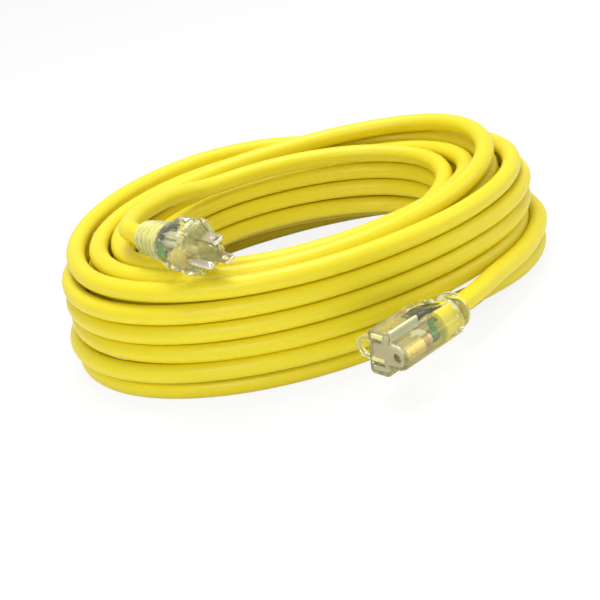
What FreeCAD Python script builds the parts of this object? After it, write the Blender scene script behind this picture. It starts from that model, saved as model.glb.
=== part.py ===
import FreeCAD, Part
import math
import os
import Sketcher
from FreeCAD import Placement, Rotation, Vector

# Extension cord: a heavy three-wire cord wound in a low oval, with a clear moulded plug
# lying on the inner turns and a clear moulded receptacle beside the outer wall.
# The origin is at the bottom middle of the whole part, +Z up, +X along the oval.

doc = FreeCAD.newDocument("ExtensionCord")

# Driving sizes, in millimetres and degrees
SIZES = {
    "cord_diameter": 11.0,
    "floor_flat": 0.5,
    "coil_x": -10.7,
    "coil_y": 18.9,
    "row_pitch": 11.5,
    "ring_pitch_side": 12.0,
    "ring_pitch_end": 13.0,
    "front_reach": 104.0,
    "back_reach": 104.0,
    "left_reach": 124.7,
    "right_reach": 140.5,
    "left_fan_1": 6.7,
    "left_fan_2": 7.3,
    "left_fan_3": 6.8,
    "left_fan_4": 11.1,
    "left_fan_5": 8.4,
    "right_fan_1": 2.8,
    "right_fan_2": 8.7,
    "right_fan_3": 7.2,
    "right_fan_4": 4.2,
    "right_fan_5": 12.4,
    "crossing_lift": 8.5,
    "crossing_ring": 1.1,
    "crossing_height": 6.5,
    "crossing_rise": 3.0,
    "crossing_end": 2.0,
    "crossing_fall": 4.0,
    "layer_drop": 2.0,
    "lead_ring": 0.92,
    "lead_low": 16.5,
    "lead_out": 1.15,
    "lead_height": 58.0,
    "lead_rise": 6.0,
    "lead_tuck": 0.3,
    "end_tuck": 5.5,
    "end_lift": 2.0,
    "wire_diameter": 3.6,
    "wire_bend": 4.0,
    "copper_diameter": 2.0,
    "bundle_radius": 2.1,
    "blade_spacing": 12.7,
    "blade_above": 4.0,
    "ground_below": 7.9,
    "blade_thickness": 1.52,
    "blade_width": 6.35,
    "blade_length": 17.0,
    "blade_hole_width": 3.0,
    "blade_hole_length": 5.0,
    "blade_hole_from_face": 12.9,
    "blade_tip_chamfer": 1.2,
    "ground_pin_diameter": 4.8,
    "ground_pin_length": 20.0,
    "pin_shank_diameter": 4.0,
    "plug_x": -91.4,
    "plug_y": -32.1,
    "plug_z": 83.2,
    "plug_yaw": -73.4,
    "plug_pitch": -3.1,
    "plug_roll": -72.5,
    "plug_length": 53.0,
    "plug_half_width": 14.2,
    "plug_top": 14.8,
    "plug_bottom": 15.0,
    "plug_lobe_half": 6.5,
    "plug_corner": 5.0,
    "plug_flange": 5.0,
    "plug_groove": 3.0,
    "plug_groove_depth": 2.0,
    "plug_main": 12.0,
    "plug_shoulder": 7.0,
    "relief_front_radius": 11.6,
    "relief_rear_radius": 7.6,
    "relief_rib_height": 1.1,
    "core_setback": 2.5,
    "plug_core_length": 9.0,
    "core_half_width": 10.5,
    "core_top": 8.8,
    "core_low": 2.0,
    "blade_tang": 3.0,
    "blade_tang_width": 4.0,
    "jacket_inside": 22.0,
    "copper_bare": 3.0,
    "socket_x": 41.0,
    "socket_y": -122.0,
    "socket_z": 23.9,
    "socket_yaw": -155.0,
    "socket_pitch": -3.8,
    "socket_roll": 86.8,
    "tail_run": 10.0,
    "tail_x": 86.6,
    "tail_y": -97.95,
    "tail_z": 22.8,
    "tail_yaw": 22.9,
    "socket_length": 62.0,
    "socket_half_width": 12.6,
    "socket_top": 9.6,
    "socket_low": 2.6,
    "socket_lobe_radius": 6.4,
    "socket_corner": 2.2,
    "socket_prism": 42.0,
    "socket_taper": 10.0,
    "socket_rear_half": 8.6,
    "neck_radius": 8.0,
    "collar_radius": 10.6,
    "collar_length": 6.5,
    "collar_edge": 2.4,
    "ear_reach": 10.0,
    "ear_half_width": 6.6,
    "ear_thickness": 3.0,
    "ear_setback": 2.5,
    "ear_band": 2.6,
    "hot_slot_length": 7.2,
    "neutral_slot_length": 8.6,
    "slot_width": 2.1,
    "ground_hole_diameter": 5.2,
    "socket_core_length": 21.0,
    "ground_tower_radius": 4.6,
    "contact_length": 15.0,
    "contact_setback": 4.5,
    "contact_leaf": 0.6,
    "contact_gap": 1.3,
    "contact_room": 0.3,
    "sleeve_wall": 0.6,
    "sleeve_length": 14.0,
    "sleeve_slit": 0.8,
    "tail_length": 4.0,
    "lamp_radius": 2.2,
    "lamp_length": 7.0,
    "lamp_lead": 3.5,
    "lamp_above": 6.2,
    "lead_diameter": 0.6,
    "lead_spacing": 2.0,
    "lead_spread": 4.0,
    "lead_above": 5.4,
    "lead_end": 1.2,
    "resistor_diameter": 2.0,
    "resistor_length": 4.5,
    "resistor_above": 0.6,
}
sheet = doc.addObject("Spreadsheet::Sheet", "Sizes")
for line, (alias, value) in enumerate(SIZES.items(), start=1):
    sheet.set(f"A{line}", alias)
    sheet.set(f"B{line}", str(value))
    sheet.setAlias(f"B{line}", alias)
doc.recompute()


def size(alias):
    return float(sheet.get(alias))


cord = size("cord_diameter")
pieces = {}


def keep(name, item):
    """Register a finished piece under the name of its node."""
    item.Label = name
    pieces[name] = item
    return item


def feature(name, shape, placement=None):
    item = doc.addObject("Part::Feature", name)
    item.Shape = shape
    if placement:
        item.Placement = placement
    return item


def body_at(name, placement):
    body = doc.addObject("PartDesign::Body", name)
    body.Placement = placement
    return body


def sketch_on(body, name, plane, offset=None):
    sketch = body.newObject("Sketcher::SketchObject", name)
    origin_plane = next(item for item in body.Origin.OriginFeatures if item.Role == plane)
    sketch.AttachmentSupport = [(origin_plane, "")]
    sketch.MapMode = "FlatFace"
    if offset:
        sketch.setExpression("AttachmentOffset.Base.z", offset)
    return sketch


def outline(sketch, corners):
    """A closed outline of straight sides, each corner bound to the sheet by two expressions."""
    count = len(corners)
    first = sketch.GeometryCount
    turns = [2 * math.pi * k / count for k in range(count)]
    start = [Vector(math.cos(turn), math.sin(turn), 0) for turn in turns]
    for k in range(count):
        sketch.addGeometry(Part.LineSegment(start[k], start[(k + 1) % count]), False)
    for k in range(count):
        sketch.addConstraint(Sketcher.Constraint("Coincident", first + k, 2, first + (k + 1) % count, 1))
    for k, corner in enumerate(corners):
        for kind, value, expression in zip(("DistanceX", "DistanceY"), start[k], corner):
            index = sketch.addConstraint(Sketcher.Constraint(kind, -1, 1, first + k, 1, value))
            sketch.setExpression(f"Constraints[{index}]", expression)


def circle(sketch, across, up, radius):
    index = sketch.addGeometry(Part.Circle(Vector(0, 0, 0), Vector(0, 0, 1), 1.0), False)
    for kind, expression in (("DistanceX", across), ("DistanceY", up)):
        number = sketch.addConstraint(Sketcher.Constraint(kind, -1, 1, index, 3, 0.5))
        sketch.setExpression(f"Constraints[{number}]", expression)
    number = sketch.addConstraint(Sketcher.Constraint("Radius", index, 1.0))
    sketch.setExpression(f"Constraints[{number}]", radius)


def grow(body, kind, name, profile, **expressions):
    """A PartDesign feature of the given kind on a sketch, its sizes bound to the sheet."""
    item = body.newObject(f"PartDesign::{kind}", name)
    item.Profile = profile
    for key, expression in expressions.items():
        item.setExpression(key, expression)
    if kind == "Revolution":
        item.ReferenceAxis = (profile, ["H_Axis"])
        item.Angle = 360.0
    body.Tip = item
    return item


def edges_along_x(shape):
    """Names of the straight edges that run along X in the body's own frame."""
    names = []
    for k, edge in enumerate(shape.Edges, start=1):
        box = edge.BoundBox
        if box.YLength < 1e-6 and box.ZLength < 1e-6:
            names.append(f"Edge{k}")
    return names


def round_edges(body, name, base, edges, radius):
    item = body.newObject("PartDesign::Fillet", name)
    item.Base = (base, edges)
    item.setExpression("Radius", radius)
    body.Tip = item
    return item


def block(name, placement, start, length, low, high):
    """A bar along X with a rectangular section between two corners, in the connector's frame."""
    body = body_at(name, placement)
    sketch = sketch_on(body, name + "_section", "YZ_Plane", start)
    outline(sketch, [(high[0], low[1]), high, (low[0], high[1]), low])
    grow(body, "Pad", name + "_pad", sketch, Length=length)
    return body


def rod(name, placement, start, length, radius, across="0", above="0"):
    """A round bar along X, in the connector's frame."""
    body = body_at(name, placement)
    sketch = sketch_on(body, name + "_section", "YZ_Plane", start)
    circle(sketch, across, above, radius)
    grow(body, "Pad", name + "_pad", sketch, Length=length)
    return body


def cut(name, base, tools):
    """The base with the room of every tool taken out of it."""
    tool = tools[0]
    if len(tools) > 1:
        tool = doc.addObject("Part::MultiFuse", name + "_room")
        tool.Shapes = tools
    item = doc.addObject("Part::Cut", name)
    item.Base = base
    item.Tool = tool
    return item


def arc_between(start, heading, end):
    """The arc that leaves start along the heading and passes through end, and its last heading."""
    chord = end - start
    along = chord.dot(heading)
    side = chord - heading * along
    away = side.Length
    side.normalize()
    half = math.atan2(away, along)
    radius = chord.Length ** 2 / (2 * away)
    middle = start + heading * (radius * math.sin(half)) + side * (radius * (1 - math.cos(half)))
    last = heading * math.cos(2 * half) + side * math.sin(2 * half)
    return Part.Arc(start, middle, end), last, radius


def biarc(start, heading, end, last_heading):
    """Two tangent arcs between two points with given headings, with equal tangent lengths."""
    reach = end - start
    both = heading + last_heading
    square = 2 * (heading.dot(last_heading) - 1)
    linear = -2 * reach.dot(both)
    root = math.sqrt(linear ** 2 - 4 * square * reach.dot(reach))
    tangent = (-linear - root) / (2 * square)
    joint = (start + heading * tangent + end - last_heading * tangent) * 0.5
    first, joint_heading, first_radius = arc_between(start, heading, joint)
    second, unused, second_radius = arc_between(joint, joint_heading, end)
    return [first, second], [first_radius, second_radius]


def tube(edges, start, heading, diameter):
    """A round tube along a path of tangent lines and arcs."""
    path = Part.Wire([edge.toShape() for edge in edges])
    ring = Part.Wire([Part.Circle(start, heading, diameter / 2).toShape()])
    return path.makePipeShell([ring], True, False), path


def unit(vector):
    copy = Vector(vector)
    return copy.normalize()


# The winding: four walls of turns, one inside the next. Each wall is one layer of rows,
# and the cord climbs or falls one row in every turn. Heights are of the cord's underside.
BACK, LEFT, FRONT, RIGHT = range(4)
row_pitch = size("row_pitch")
top_row = 5 * row_pitch
left_fans = [0.0] + [size(f"left_fan_{k}") for k in range(1, 6)]
right_fans = [size(f"right_fan_{k}") for k in range(1, 6)]


def between(values, row):
    """A value between those of the two nearest rows."""
    row = min(max(row, 0.0), len(values) - 1.0)
    low = min(int(row), len(values) - 2)
    return values[low] + (values[low + 1] - values[low]) * (row - low)


def rise(quarter, sign, left_climb, right_climb):
    """How far the cord rises in the quarter turn that starts here."""
    return sign * (left_climb if quarter % 4 in (BACK, LEFT) else right_climb) / 2


def wall(stations, ring, first, last, height, sign, left_climb, right_climb):
    """Stations of one wall of turns, and the height of its last one."""
    for quarter in range(first, last + 1):
        before = rise(quarter - 1, sign, left_climb, right_climb)
        after = rise(quarter, sign, left_climb, right_climb)
        stations.append((quarter, ring, height, before, after))
        height += after
    return height - after


def winding_stations():
    """Every quarter turn of the cord: quarter, ring, height, rise before and rise after."""
    drop, lift = size("layer_drop"), size("crossing_lift")
    lead, climb, fall = size("lead_rise"), size("crossing_rise"), -size("crossing_fall")
    stations = [(-1, -size("lead_ring"), size("lead_low"), 0, 0)]
    stations.append((0, -size("lead_out"), size("lead_height"), lead, lead))
    height = wall(stations, 0, 1, 21, top_row, -1, 0, row_pitch)
    stations.append((22, size("lead_tuck"), height, 0, 0))
    stations.append((23, 1.0, height, 0, 0))
    height = wall(stations, 1, 24, 42, height + row_pitch, 1, drop, row_pitch - drop)
    stations.append((43, size("crossing_ring"), height + size("crossing_height"), climb, climb))
    stations.append((44, 2.0, height + size("crossing_end"), fall, fall))
    height = wall(stations, 2, 45, 58, height - drop / 2, -1, drop, row_pitch - drop)
    stations.append((59, 2.5, height - lift, 0, 0))
    height = wall(stations, 3, 60, 71, height, 1, 0, row_pitch) + rise(71, 1, 0, row_pitch)
    inner = 3 + size("end_tuck") / size("ring_pitch_side")
    stations.append((72, inner, height + size("end_lift"), rise(71, 1, 0, row_pitch), 0))
    return stations


def station_point(quarter, ring, height):
    """Where the cord's middle passes the side of the oval that this quarter turn starts from."""
    side = quarter % 4
    fan_share = 1 - max(ring, 0.0) / 3
    row = 5 - height / row_pitch
    across = along = 0.0
    if side == BACK:
        across = size("back_reach") - size("ring_pitch_side") * ring
    if side == FRONT:
        across = size("ring_pitch_side") * ring - size("front_reach")
    if side == LEFT:
        along = size("ring_pitch_end") * ring - size("left_reach") - between(left_fans, row) * fan_share
    if side == RIGHT:
        along = size("right_reach") + between(right_fans, row - 0.5) * fan_share - size("ring_pitch_end") * ring
    middle = height + cord / 2 - size("floor_flat")
    return Vector(size("coil_x") + along, size("coil_y") + across, middle)


def quarter_length(start, end):
    across, along = abs(start.x - end.x), abs(start.y - end.y)
    return math.pi / 2 * math.sqrt((across ** 2 + along ** 2) / 2)


def winding():
    """Lines and arcs of the whole coil, from its outer end to its inner end."""
    stations = winding_stations()
    points = [station_point(quarter, ring, height) for quarter, ring, height, before, after in stations]
    lengths = [quarter_length(a, b) for a, b in zip(points, points[1:])]
    lengths = [lengths[0]] + lengths + [lengths[-1]]
    level = [Vector(-1, 0, 0), Vector(0, -1, 0), Vector(1, 0, 0), Vector(0, 1, 0)]
    headings = []
    for k, (quarter, ring, height, before, after) in enumerate(stations):
        slope = (before / lengths[k] + after / lengths[k + 1]) / 2
        headings.append(unit(level[quarter % 4] + Vector(0, 0, slope)))
    start = points[0] - headings[0] * cord
    end = points[-1] + headings[-1] * cord
    edges = [Part.LineSegment(start, points[0])]
    radii = []
    for k in range(len(points) - 1):
        arcs, arc_radii = biarc(points[k], headings[k], points[k + 1], headings[k + 1])
        edges += arcs
        radii += arc_radii
    edges.append(Part.LineSegment(points[-1], end))
    return edges, radii, (start, headings[0]), (end, headings[-1])


def least_gap(edges, diameter, step=3.0, apart=60.0):
    """The least gap of a wound tube to itself, measured on points along its middle line."""
    points, travelled, cells = [], [], {}
    distance = 0.0
    for edge in edges:
        shape = edge.toShape()
        count = max(2, int(shape.Length / step) + 1)
        samples = shape.discretize(Number=count)
        for point in samples[:-1]:
            points.append(point)
            travelled.append(distance)
            distance += shape.Length / (count - 1)
    reach = 1.5 * diameter
    for k, point in enumerate(points):
        cells.setdefault(tuple(int(value // reach) for value in point), []).append(k)
    least = reach
    around = [(i, j, k) for i in (-1, 0, 1) for j in (-1, 0, 1) for k in (-1, 0, 1)]
    for k, point in enumerate(points):
        cell = [int(value // reach) for value in point]
        for shift in around:
            for other in cells.get(tuple(a + b for a, b in zip(cell, shift)), []):
                if travelled[other] - travelled[k] < apart or other + 1 >= len(points):
                    continue
                offset = point.distanceToLineSegment(points[other - 1], points[other + 1])
                least = min(least, offset.Length)
    return least - diameter


def route(points, diameter, name):
    """A tube of straight runs joined by tangent arcs, each as large as its two runs allow."""
    runs = [(b - a).Length for a, b in zip(points, points[1:])]
    edges, radii = [], []
    here = points[0]
    for k in range(1, len(points) - 1):
        before, after = unit(points[k] - points[k - 1]), unit(points[k + 1] - points[k])
        half_turn = before.getAngle(after) / 2
        tangent = 0.45 * min(runs[k - 1], runs[k])
        radius = tangent / math.tan(half_turn)
        start, end = points[k] - before * tangent, points[k] + after * tangent
        inward = unit(after - before)
        middle = points[k] + inward * (radius / math.cos(half_turn) - radius)
        edges += [Part.LineSegment(here, start), Part.Arc(start, middle, end)]
        radii.append(radius)
        here = end
    edges.append(Part.LineSegment(here, points[-1]))
    shape, path = tube(edges, points[0], unit(points[1] - points[0]), diameter)
    expected = path.Length * math.pi * diameter ** 2 / 4
    print(name, "runs", [round(run, 1) for run in runs], "radii", [round(radius, 1) for radius in radii],
          "length", round(path.Length, 1), "volume ratio", round(shape.Volume / expected, 5))
    return shape


# The coil stands on its lowest turns, which lie flat by the floor_flat depth
coil_edges, coil_radii, coil_start, coil_end = winding()
coil_shape, coil_path = tube(coil_edges, coil_start[0], coil_start[1], cord)
winding_round = feature("winding", coil_shape)
floor = doc.addObject("Part::Box", "floor")
floor.setExpression("Height", "2 * Sizes.cord_diameter")
floor.setExpression("Length", "4 * Sizes.right_reach")
floor.setExpression("Width", "4 * Sizes.right_reach")
floor.Placement = Placement(Vector(-2 * size("right_reach"), -2 * size("right_reach"), -2 * cord), Rotation())
keep("cord_coil", cut("cord_coil", winding_round, [floor]))
coil_expected = coil_path.Length * math.pi * cord ** 2 / 4
print("coil length", round(coil_path.Length, 1), "least radius", round(min(coil_radii), 1),
      "least gap", round(least_gap(coil_edges, cord), 3),
      "volume ratio", round(coil_shape.Volume / coil_expected, 5))

# Each connector has a frame of its own: +X out of its face, from the end where the cord
# comes in, +Z from the ground contact towards the two flat ones
coil_middle = Vector(size("coil_x"), size("coil_y"), 0)


def connector_frame(name):
    place = Vector(size(name + "_x"), size(name + "_y"), size(name + "_z"))
    turn = Rotation(size(name + "_yaw"), size(name + "_pitch"), size(name + "_roll"))
    return Placement(coil_middle + place, turn)


plug_frame = connector_frame("plug")
socket_frame = connector_frame("socket")
plug_heading = plug_frame.Rotation.multVec(Vector(1, 0, 0))
socket_heading = socket_frame.Rotation.multVec(Vector(1, 0, 0))

# The free stretch from the coil's inner end, up over the inner turns, to the plug.
# Its first and last runs follow the coil's end and the plug's rear.
plug_tail_points = [coil_end[0], coil_end[0] + coil_end[1] * 21.1]
for x, y, z in ((-53.6, 56.5, 70.2), (-76.5, 42.5, 73.8), (-89.9, 25.3, 77.1), (-96.6, 6.8, 80.0)):
    plug_tail_points.append(coil_middle + Vector(x, y, z))
plug_tail_points += [plug_frame.Base - plug_heading * 19.9, plug_frame.Base]
keep("cord_tail_plug", feature("cord_tail_plug", route(plug_tail_points, cord, "cord_tail_plug")))

# The free stretch from the receptacle, round the outer wall, to the coil's outer end
bend_start = socket_frame.Base - socket_heading * size("tail_run")
bend_middle = coil_middle + Vector(size("tail_x"), size("tail_y"), size("tail_z"))
bend_angle = math.radians(size("tail_yaw"))
bend_heading = unit(Vector(math.cos(bend_angle), math.sin(bend_angle), -0.01))
near_bends, near_radii = biarc(bend_start, -socket_heading, bend_middle, bend_heading)
far_bends, far_radii = biarc(bend_middle, bend_heading, coil_start[0], coil_start[1])
tail_edges = [Part.LineSegment(socket_frame.Base, bend_start)] + near_bends + far_bends
tail_shape, tail_path = tube(tail_edges, socket_frame.Base, -socket_heading, cord)
print("cord_tail_socket", "radii", [round(radius, 1) for radius in near_radii + far_radii],
      "length", round(tail_path.Length, 1))
keep("cord_tail_socket", feature("cord_tail_socket", tail_shape))


# Wires inside a connector run from the jacket's end to the flat or ground contact. Each
# contact's place is kept twice: for a route in millimetres, for a sketch as expressions.
half_spacing = size("blade_spacing") / 2
contact_places = {
    "hot": (half_spacing, size("blade_above")),
    "neutral": (-half_spacing, size("blade_above")),
    "ground": (0.0, -size("ground_below")),
}
contact_expressions = {
    "hot": ("Sizes.blade_spacing / 2", "Sizes.blade_above"),
    "neutral": ("-Sizes.blade_spacing / 2", "Sizes.blade_above"),
    "ground": ("0", "-Sizes.ground_below"),
}
bundle_angles = {"hot": 30.0, "neutral": 150.0, "ground": 270.0}


def wire_line(pole, hot_side, contact_rear):
    """Four points of an insulated wire, from the jacket's end to where its copper is bared."""
    across, above = contact_places[pole]
    jacket_end = size("jacket_inside")
    wire_end = contact_rear - size("copper_bare")
    angle = math.radians(bundle_angles[pole])
    from_y = hot_side * size("bundle_radius") * math.cos(angle)
    from_z = size("bundle_radius") * math.sin(angle)
    bend = size("wire_bend")
    return [
        Vector(jacket_end, from_y, from_z),
        Vector(jacket_end + bend, from_y, from_z),
        Vector(wire_end - bend, hot_side * across, above),
        Vector(wire_end, hot_side * across, above),
    ]


def wire_piece(name, frame, line, diameter):
    return keep(name, feature(name, route(line, diameter, name), frame))


def core_shape(name, placement, start, length):
    """A connector's inner block: a bar round the flat contacts and a tower round the ground one."""
    body = body_at(name, placement)
    half, tower, foot = "Sizes.core_half_width", "Sizes.ground_tower_radius", "-Sizes.ground_below"
    bar = sketch_on(body, name + "_bar", "YZ_Plane", start)
    outline(bar, [(half, "-Sizes.core_low"), (half, "Sizes.core_top"), (f"-{half}", "Sizes.core_top"),
                  (f"-{half}", "-Sizes.core_low")])
    grow(body, "Pad", name + "_bar_pad", bar, Length=length)
    round_tower = sketch_on(body, name + "_tower", "YZ_Plane", start)
    circle(round_tower, "0", foot, tower)
    grow(body, "Pad", name + "_tower_pad", round_tower, Length=length)
    web = sketch_on(body, name + "_web", "YZ_Plane", start)
    outline(web, [(tower, foot), (tower, "0"), (f"-{tower}", "0"), (f"-{tower}", foot)])
    grow(body, "Pad", name + "_web_pad", web, Length=length)
    return body


# Plug, clear, with hot at -Y as its face is seen with the ground pin down
PLUG_HOT = -1.0
plug_length = size("plug_length")
plug_core_front = plug_length - size("core_setback")
plug_core_rear = plug_core_front - size("plug_core_length")
plug_wire_end = plug_core_rear - size("blade_tang")


def blade(name, side):
    """A flat blade with an oval hole near its bevelled tip and a narrower tang behind it."""
    body = body_at(name, plug_frame)
    centre = f"{side} * Sizes.blade_spacing / 2"
    face = "Sizes.plug_length"
    rear = "Sizes.plug_length - Sizes.core_setback - Sizes.plug_core_length"
    tip = f"{face} + Sizes.blade_length"
    low, high = "Sizes.blade_above - Sizes.blade_width / 2", "Sizes.blade_above + Sizes.blade_width / 2"
    tang_low = "Sizes.blade_above - Sizes.blade_tang_width / 2"
    tang_high = "Sizes.blade_above + Sizes.blade_tang_width / 2"
    chamfer = "Sizes.blade_tip_chamfer"
    # The XZ plane faces -Y, so a pad grows from its back towards the front with Y falling
    side_view = sketch_on(body, name + "_side", "XZ_Plane", f"-({centre}) - Sizes.blade_thickness / 2")
    outline(side_view, [
        (f"{rear} - Sizes.blade_tang", tang_low), (rear, tang_low), (rear, low),
        (f"{tip} - {chamfer}", low), (tip, f"{low} + {chamfer}"), (tip, f"{high} - {chamfer}"),
        (f"{tip} - {chamfer}", high), (rear, high), (rear, tang_high), (f"{rear} - Sizes.blade_tang", tang_high)])
    pad = grow(body, "Pad", name + "_pad", side_view, Length="Sizes.blade_thickness")
    hole = sketch_on(body, name + "_hole", "XZ_Plane", f"-({centre}) + Sizes.blade_thickness / 2")
    middle = f"{face} + Sizes.blade_hole_from_face"
    reach = "Sizes.blade_hole_length / 2"
    half = "Sizes.blade_hole_width / 2"
    corner = "Sizes.blade_hole_width / 4"
    outline(hole, [
        (f"{middle} - {reach}", f"Sizes.blade_above - {corner}"),
        (f"{middle} - {reach} + {corner}", f"Sizes.blade_above - {half}"),
        (f"{middle} + {reach} - {corner}", f"Sizes.blade_above - {half}"),
        (f"{middle} + {reach}", f"Sizes.blade_above - {corner}"),
        (f"{middle} + {reach}", f"Sizes.blade_above + {corner}"),
        (f"{middle} + {reach} - {corner}", f"Sizes.blade_above + {half}"),
        (f"{middle} - {reach} + {corner}", f"Sizes.blade_above + {half}"),
        (f"{middle} - {reach}", f"Sizes.blade_above + {corner}")])
    doc.recompute()
    grow(body, "Pocket", name + "_pocket", hole, Length="2 * Sizes.blade_thickness")
    doc.recompute()
    if body.Shape.Volume > 0.999 * pad.Shape.Volume:
        raise RuntimeError(name + ": the hole cut nothing")
    return keep(name, body)


plug_hot_blade = blade("plug_hot_blade", "-1")
plug_neutral_blade = blade("plug_neutral_blade", "1")

# Ground pin, round with a bevelled tip, and a thinner shank inside the moulding
pin_body = body_at("plug_ground_pin", plug_frame)
pin_sketch = sketch_on(pin_body, "pin_profile", "XY_Plane", "-Sizes.ground_below")
pin_rear = "Sizes.plug_length - Sizes.core_setback - Sizes.plug_core_length - Sizes.blade_tang"
pin_tip = "Sizes.plug_length + Sizes.ground_pin_length"
pin_radius = "Sizes.ground_pin_diameter / 2"
pin_shank = "Sizes.pin_shank_diameter / 2"
outline(pin_sketch, [
    (pin_rear, "0"), (pin_tip, "0"), (pin_tip, f"{pin_radius} * 0.45"),
    (f"{pin_tip} - {pin_radius} * 0.3", f"{pin_radius} * 0.8"),
    (f"{pin_tip} - {pin_radius} * 0.75", pin_radius), ("Sizes.plug_length", pin_radius),
    ("Sizes.plug_length", pin_shank), (pin_rear, pin_shank)])
grow(pin_body, "Revolution", "pin_turned", pin_sketch)
plug_ground_pin = keep("plug_ground_pin", pin_body)

# Inner bridge that holds the blades and the pin
core_block = core_shape(
    "plug_core_block", plug_frame,
    "Sizes.plug_length - Sizes.core_setback - Sizes.plug_core_length", "Sizes.plug_core_length")
plug_core = keep("plug_core", cut("plug_core", core_block, [
    plug_hot_blade, plug_neutral_blade, plug_ground_pin]))


def group(name, items):
    """Several pieces of one kind in one node."""
    item = doc.addObject("Part::Compound", name)
    item.Links = items
    return keep(name, item)


# Wires, their bared copper ends and the end of the cord's jacket, inside the moulding
plug_wires = []
plug_copper = []
plug_contact_rear = "Sizes.plug_length - Sizes.core_setback - Sizes.plug_core_length - Sizes.blade_tang"
for pole, (across, above) in contact_expressions.items():
    line = wire_line(pole, PLUG_HOT, plug_wire_end)
    plug_wires.append(wire_piece(f"plug_{pole}_wire", plug_frame, line, size("wire_diameter")))
    plug_copper.append(rod(
        f"plug_{pole}_copper", plug_frame, f"{plug_contact_rear} - Sizes.copper_bare", "Sizes.copper_bare",
        "Sizes.copper_diameter / 2", f"-({across})", above))
plug_wire_ends = group("plug_wire_ends", plug_copper)
plug_jacket_end = keep("plug_jacket_end", rod(
    "plug_jacket_end", plug_frame, "0", "Sizes.jacket_inside", "Sizes.cord_diameter / 2"))


def shield(body, name, offset, shrink="0"):
    """The plug's outline: square shoulders above and a narrow lobe round the ground pin below."""
    sketch = sketch_on(body, name, "YZ_Plane", offset)
    half, lobe = f"(Sizes.plug_half_width - {shrink})", f"(Sizes.plug_lobe_half - {shrink} / 2)"
    crown, foot = f"(Sizes.plug_top - {shrink})", f"-(Sizes.plug_bottom - {shrink})"
    cut_corner = "Sizes.plug_corner"
    outline(sketch, [
        (lobe, foot), (half, "-Sizes.plug_lobe_half / 2"), (half, f"{crown} - {cut_corner}"),
        (f"{half} - {cut_corner}", crown), (f"-{half} + {cut_corner}", crown),
        (f"-{half}", f"{crown} - {cut_corner}"), (f"-{half}", "-Sizes.plug_lobe_half / 2"), (f"-{lobe}", foot)])
    return sketch


# Moulded plug body: flange, finger groove, main part, shoulder and ribbed strain relief
mould = body_at("plug_mould", plug_frame)
relief_length = ("(Sizes.plug_length - Sizes.plug_flange - Sizes.plug_groove - Sizes.plug_main"
                 " - Sizes.plug_shoulder)")
main_start = f"{relief_length} + Sizes.plug_shoulder"
main_sketch = shield(mould, "plug_main_outline", main_start)
grow(mould, "Pad", "plug_main_pad", main_sketch, Length="Sizes.plug_main")
groove_sketch = shield(
    mould, "plug_groove_outline", f"{main_start} + Sizes.plug_main", "Sizes.plug_groove_depth")
grow(mould, "Pad", "plug_groove_pad", groove_sketch, Length="Sizes.plug_groove")
flange_sketch = shield(mould, "plug_flange_outline", "Sizes.plug_length - Sizes.plug_flange")
flange_pad = grow(mould, "Pad", "plug_flange_pad", flange_sketch, Length="Sizes.plug_flange")
doc.recompute()
shoulder_back = sketch_on(mould, "plug_shoulder_back", "YZ_Plane", relief_length)
octagon = []
for k in range(8):
    angle = 360 * (k + 0.5) / 8 - 90
    octagon.append((
        f"Sizes.relief_front_radius * cos({angle} deg)", f"Sizes.relief_front_radius * sin({angle} deg)"))
outline(shoulder_back, octagon)
shoulder = mould.newObject("PartDesign::AdditiveLoft", "plug_shoulder_loft")
shoulder.Profile = shoulder_back
shoulder.Sections = [shield(mould, "plug_shoulder_front", main_start)]
shoulder.Ruled = True
mould.Tip = shoulder
relief_sketch = sketch_on(mould, "plug_relief_profile", "XY_Plane")
rib_count = 4
relief_profile = [("0", "0")]
relief_step = f"({relief_length} / {2 * rib_count})"
for k in range(2 * rib_count):
    share = k / (2 * rib_count - 1)
    skin = f"Sizes.relief_rear_radius * {1 - share} + Sizes.relief_front_radius * {share}"
    if k % 2:
        skin += " - Sizes.relief_rib_height"
    relief_profile += [(f"{relief_step} * {k}", skin), (f"{relief_step} * {k + 1}", skin)]
relief_profile.append((relief_length, "0"))
outline(relief_sketch, list(reversed(relief_profile)))
grow(mould, "Revolution", "plug_relief_turned", relief_sketch)
doc.recompute()

keep("plug_body", cut("plug_body", mould, [
    plug_hot_blade, plug_neutral_blade, plug_ground_pin, core_block, plug_jacket_end]
    + plug_wires + plug_copper))

# Receptacle, clear, with hot at +Y: its long slot is the neutral one
SOCKET_HOT = 1.0
socket_face = "Sizes.socket_length"
socket_length = size("socket_length")
contact_front = f"{socket_face} - Sizes.contact_setback"
contact_rear = socket_length - size("contact_setback") - size("contact_length")


def contact(name, side):
    """A folded spring of two leaves joined behind, with a tail for its wire."""
    body = body_at(name, socket_frame)
    centre = f"{side} * Sizes.blade_spacing / 2"
    inner, outer = "Sizes.contact_gap / 2", "(Sizes.contact_gap / 2 + Sizes.contact_leaf)"
    rear = f"{contact_front} - Sizes.contact_length"
    bottom = "Sizes.blade_above - Sizes.blade_width / 2"
    sketch = sketch_on(body, name + "_section", "XY_Plane", bottom)
    tail = "Sizes.contact_leaf"
    outline(sketch, [
        (f"{rear} + {tail}", f"{centre} + {inner}"), (contact_front, f"{centre} + {inner}"),
        (contact_front, f"{centre} + {outer}"), (rear, f"{centre} + {outer}"),
        (rear, f"{centre} + {tail} / 2"), (f"{rear} - Sizes.tail_length", f"{centre} + {tail} / 2"),
        (f"{rear} - Sizes.tail_length", f"{centre} - {tail} / 2"), (rear, f"{centre} - {tail} / 2"),
        (rear, f"{centre} - {outer}"), (contact_front, f"{centre} - {outer}"),
        (contact_front, f"{centre} - {inner}"), (f"{rear} + {tail}", f"{centre} - {inner}")])
    grow(body, "Pad", name + "_pad", sketch, Length="Sizes.blade_width")
    return keep(name, body)


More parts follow.
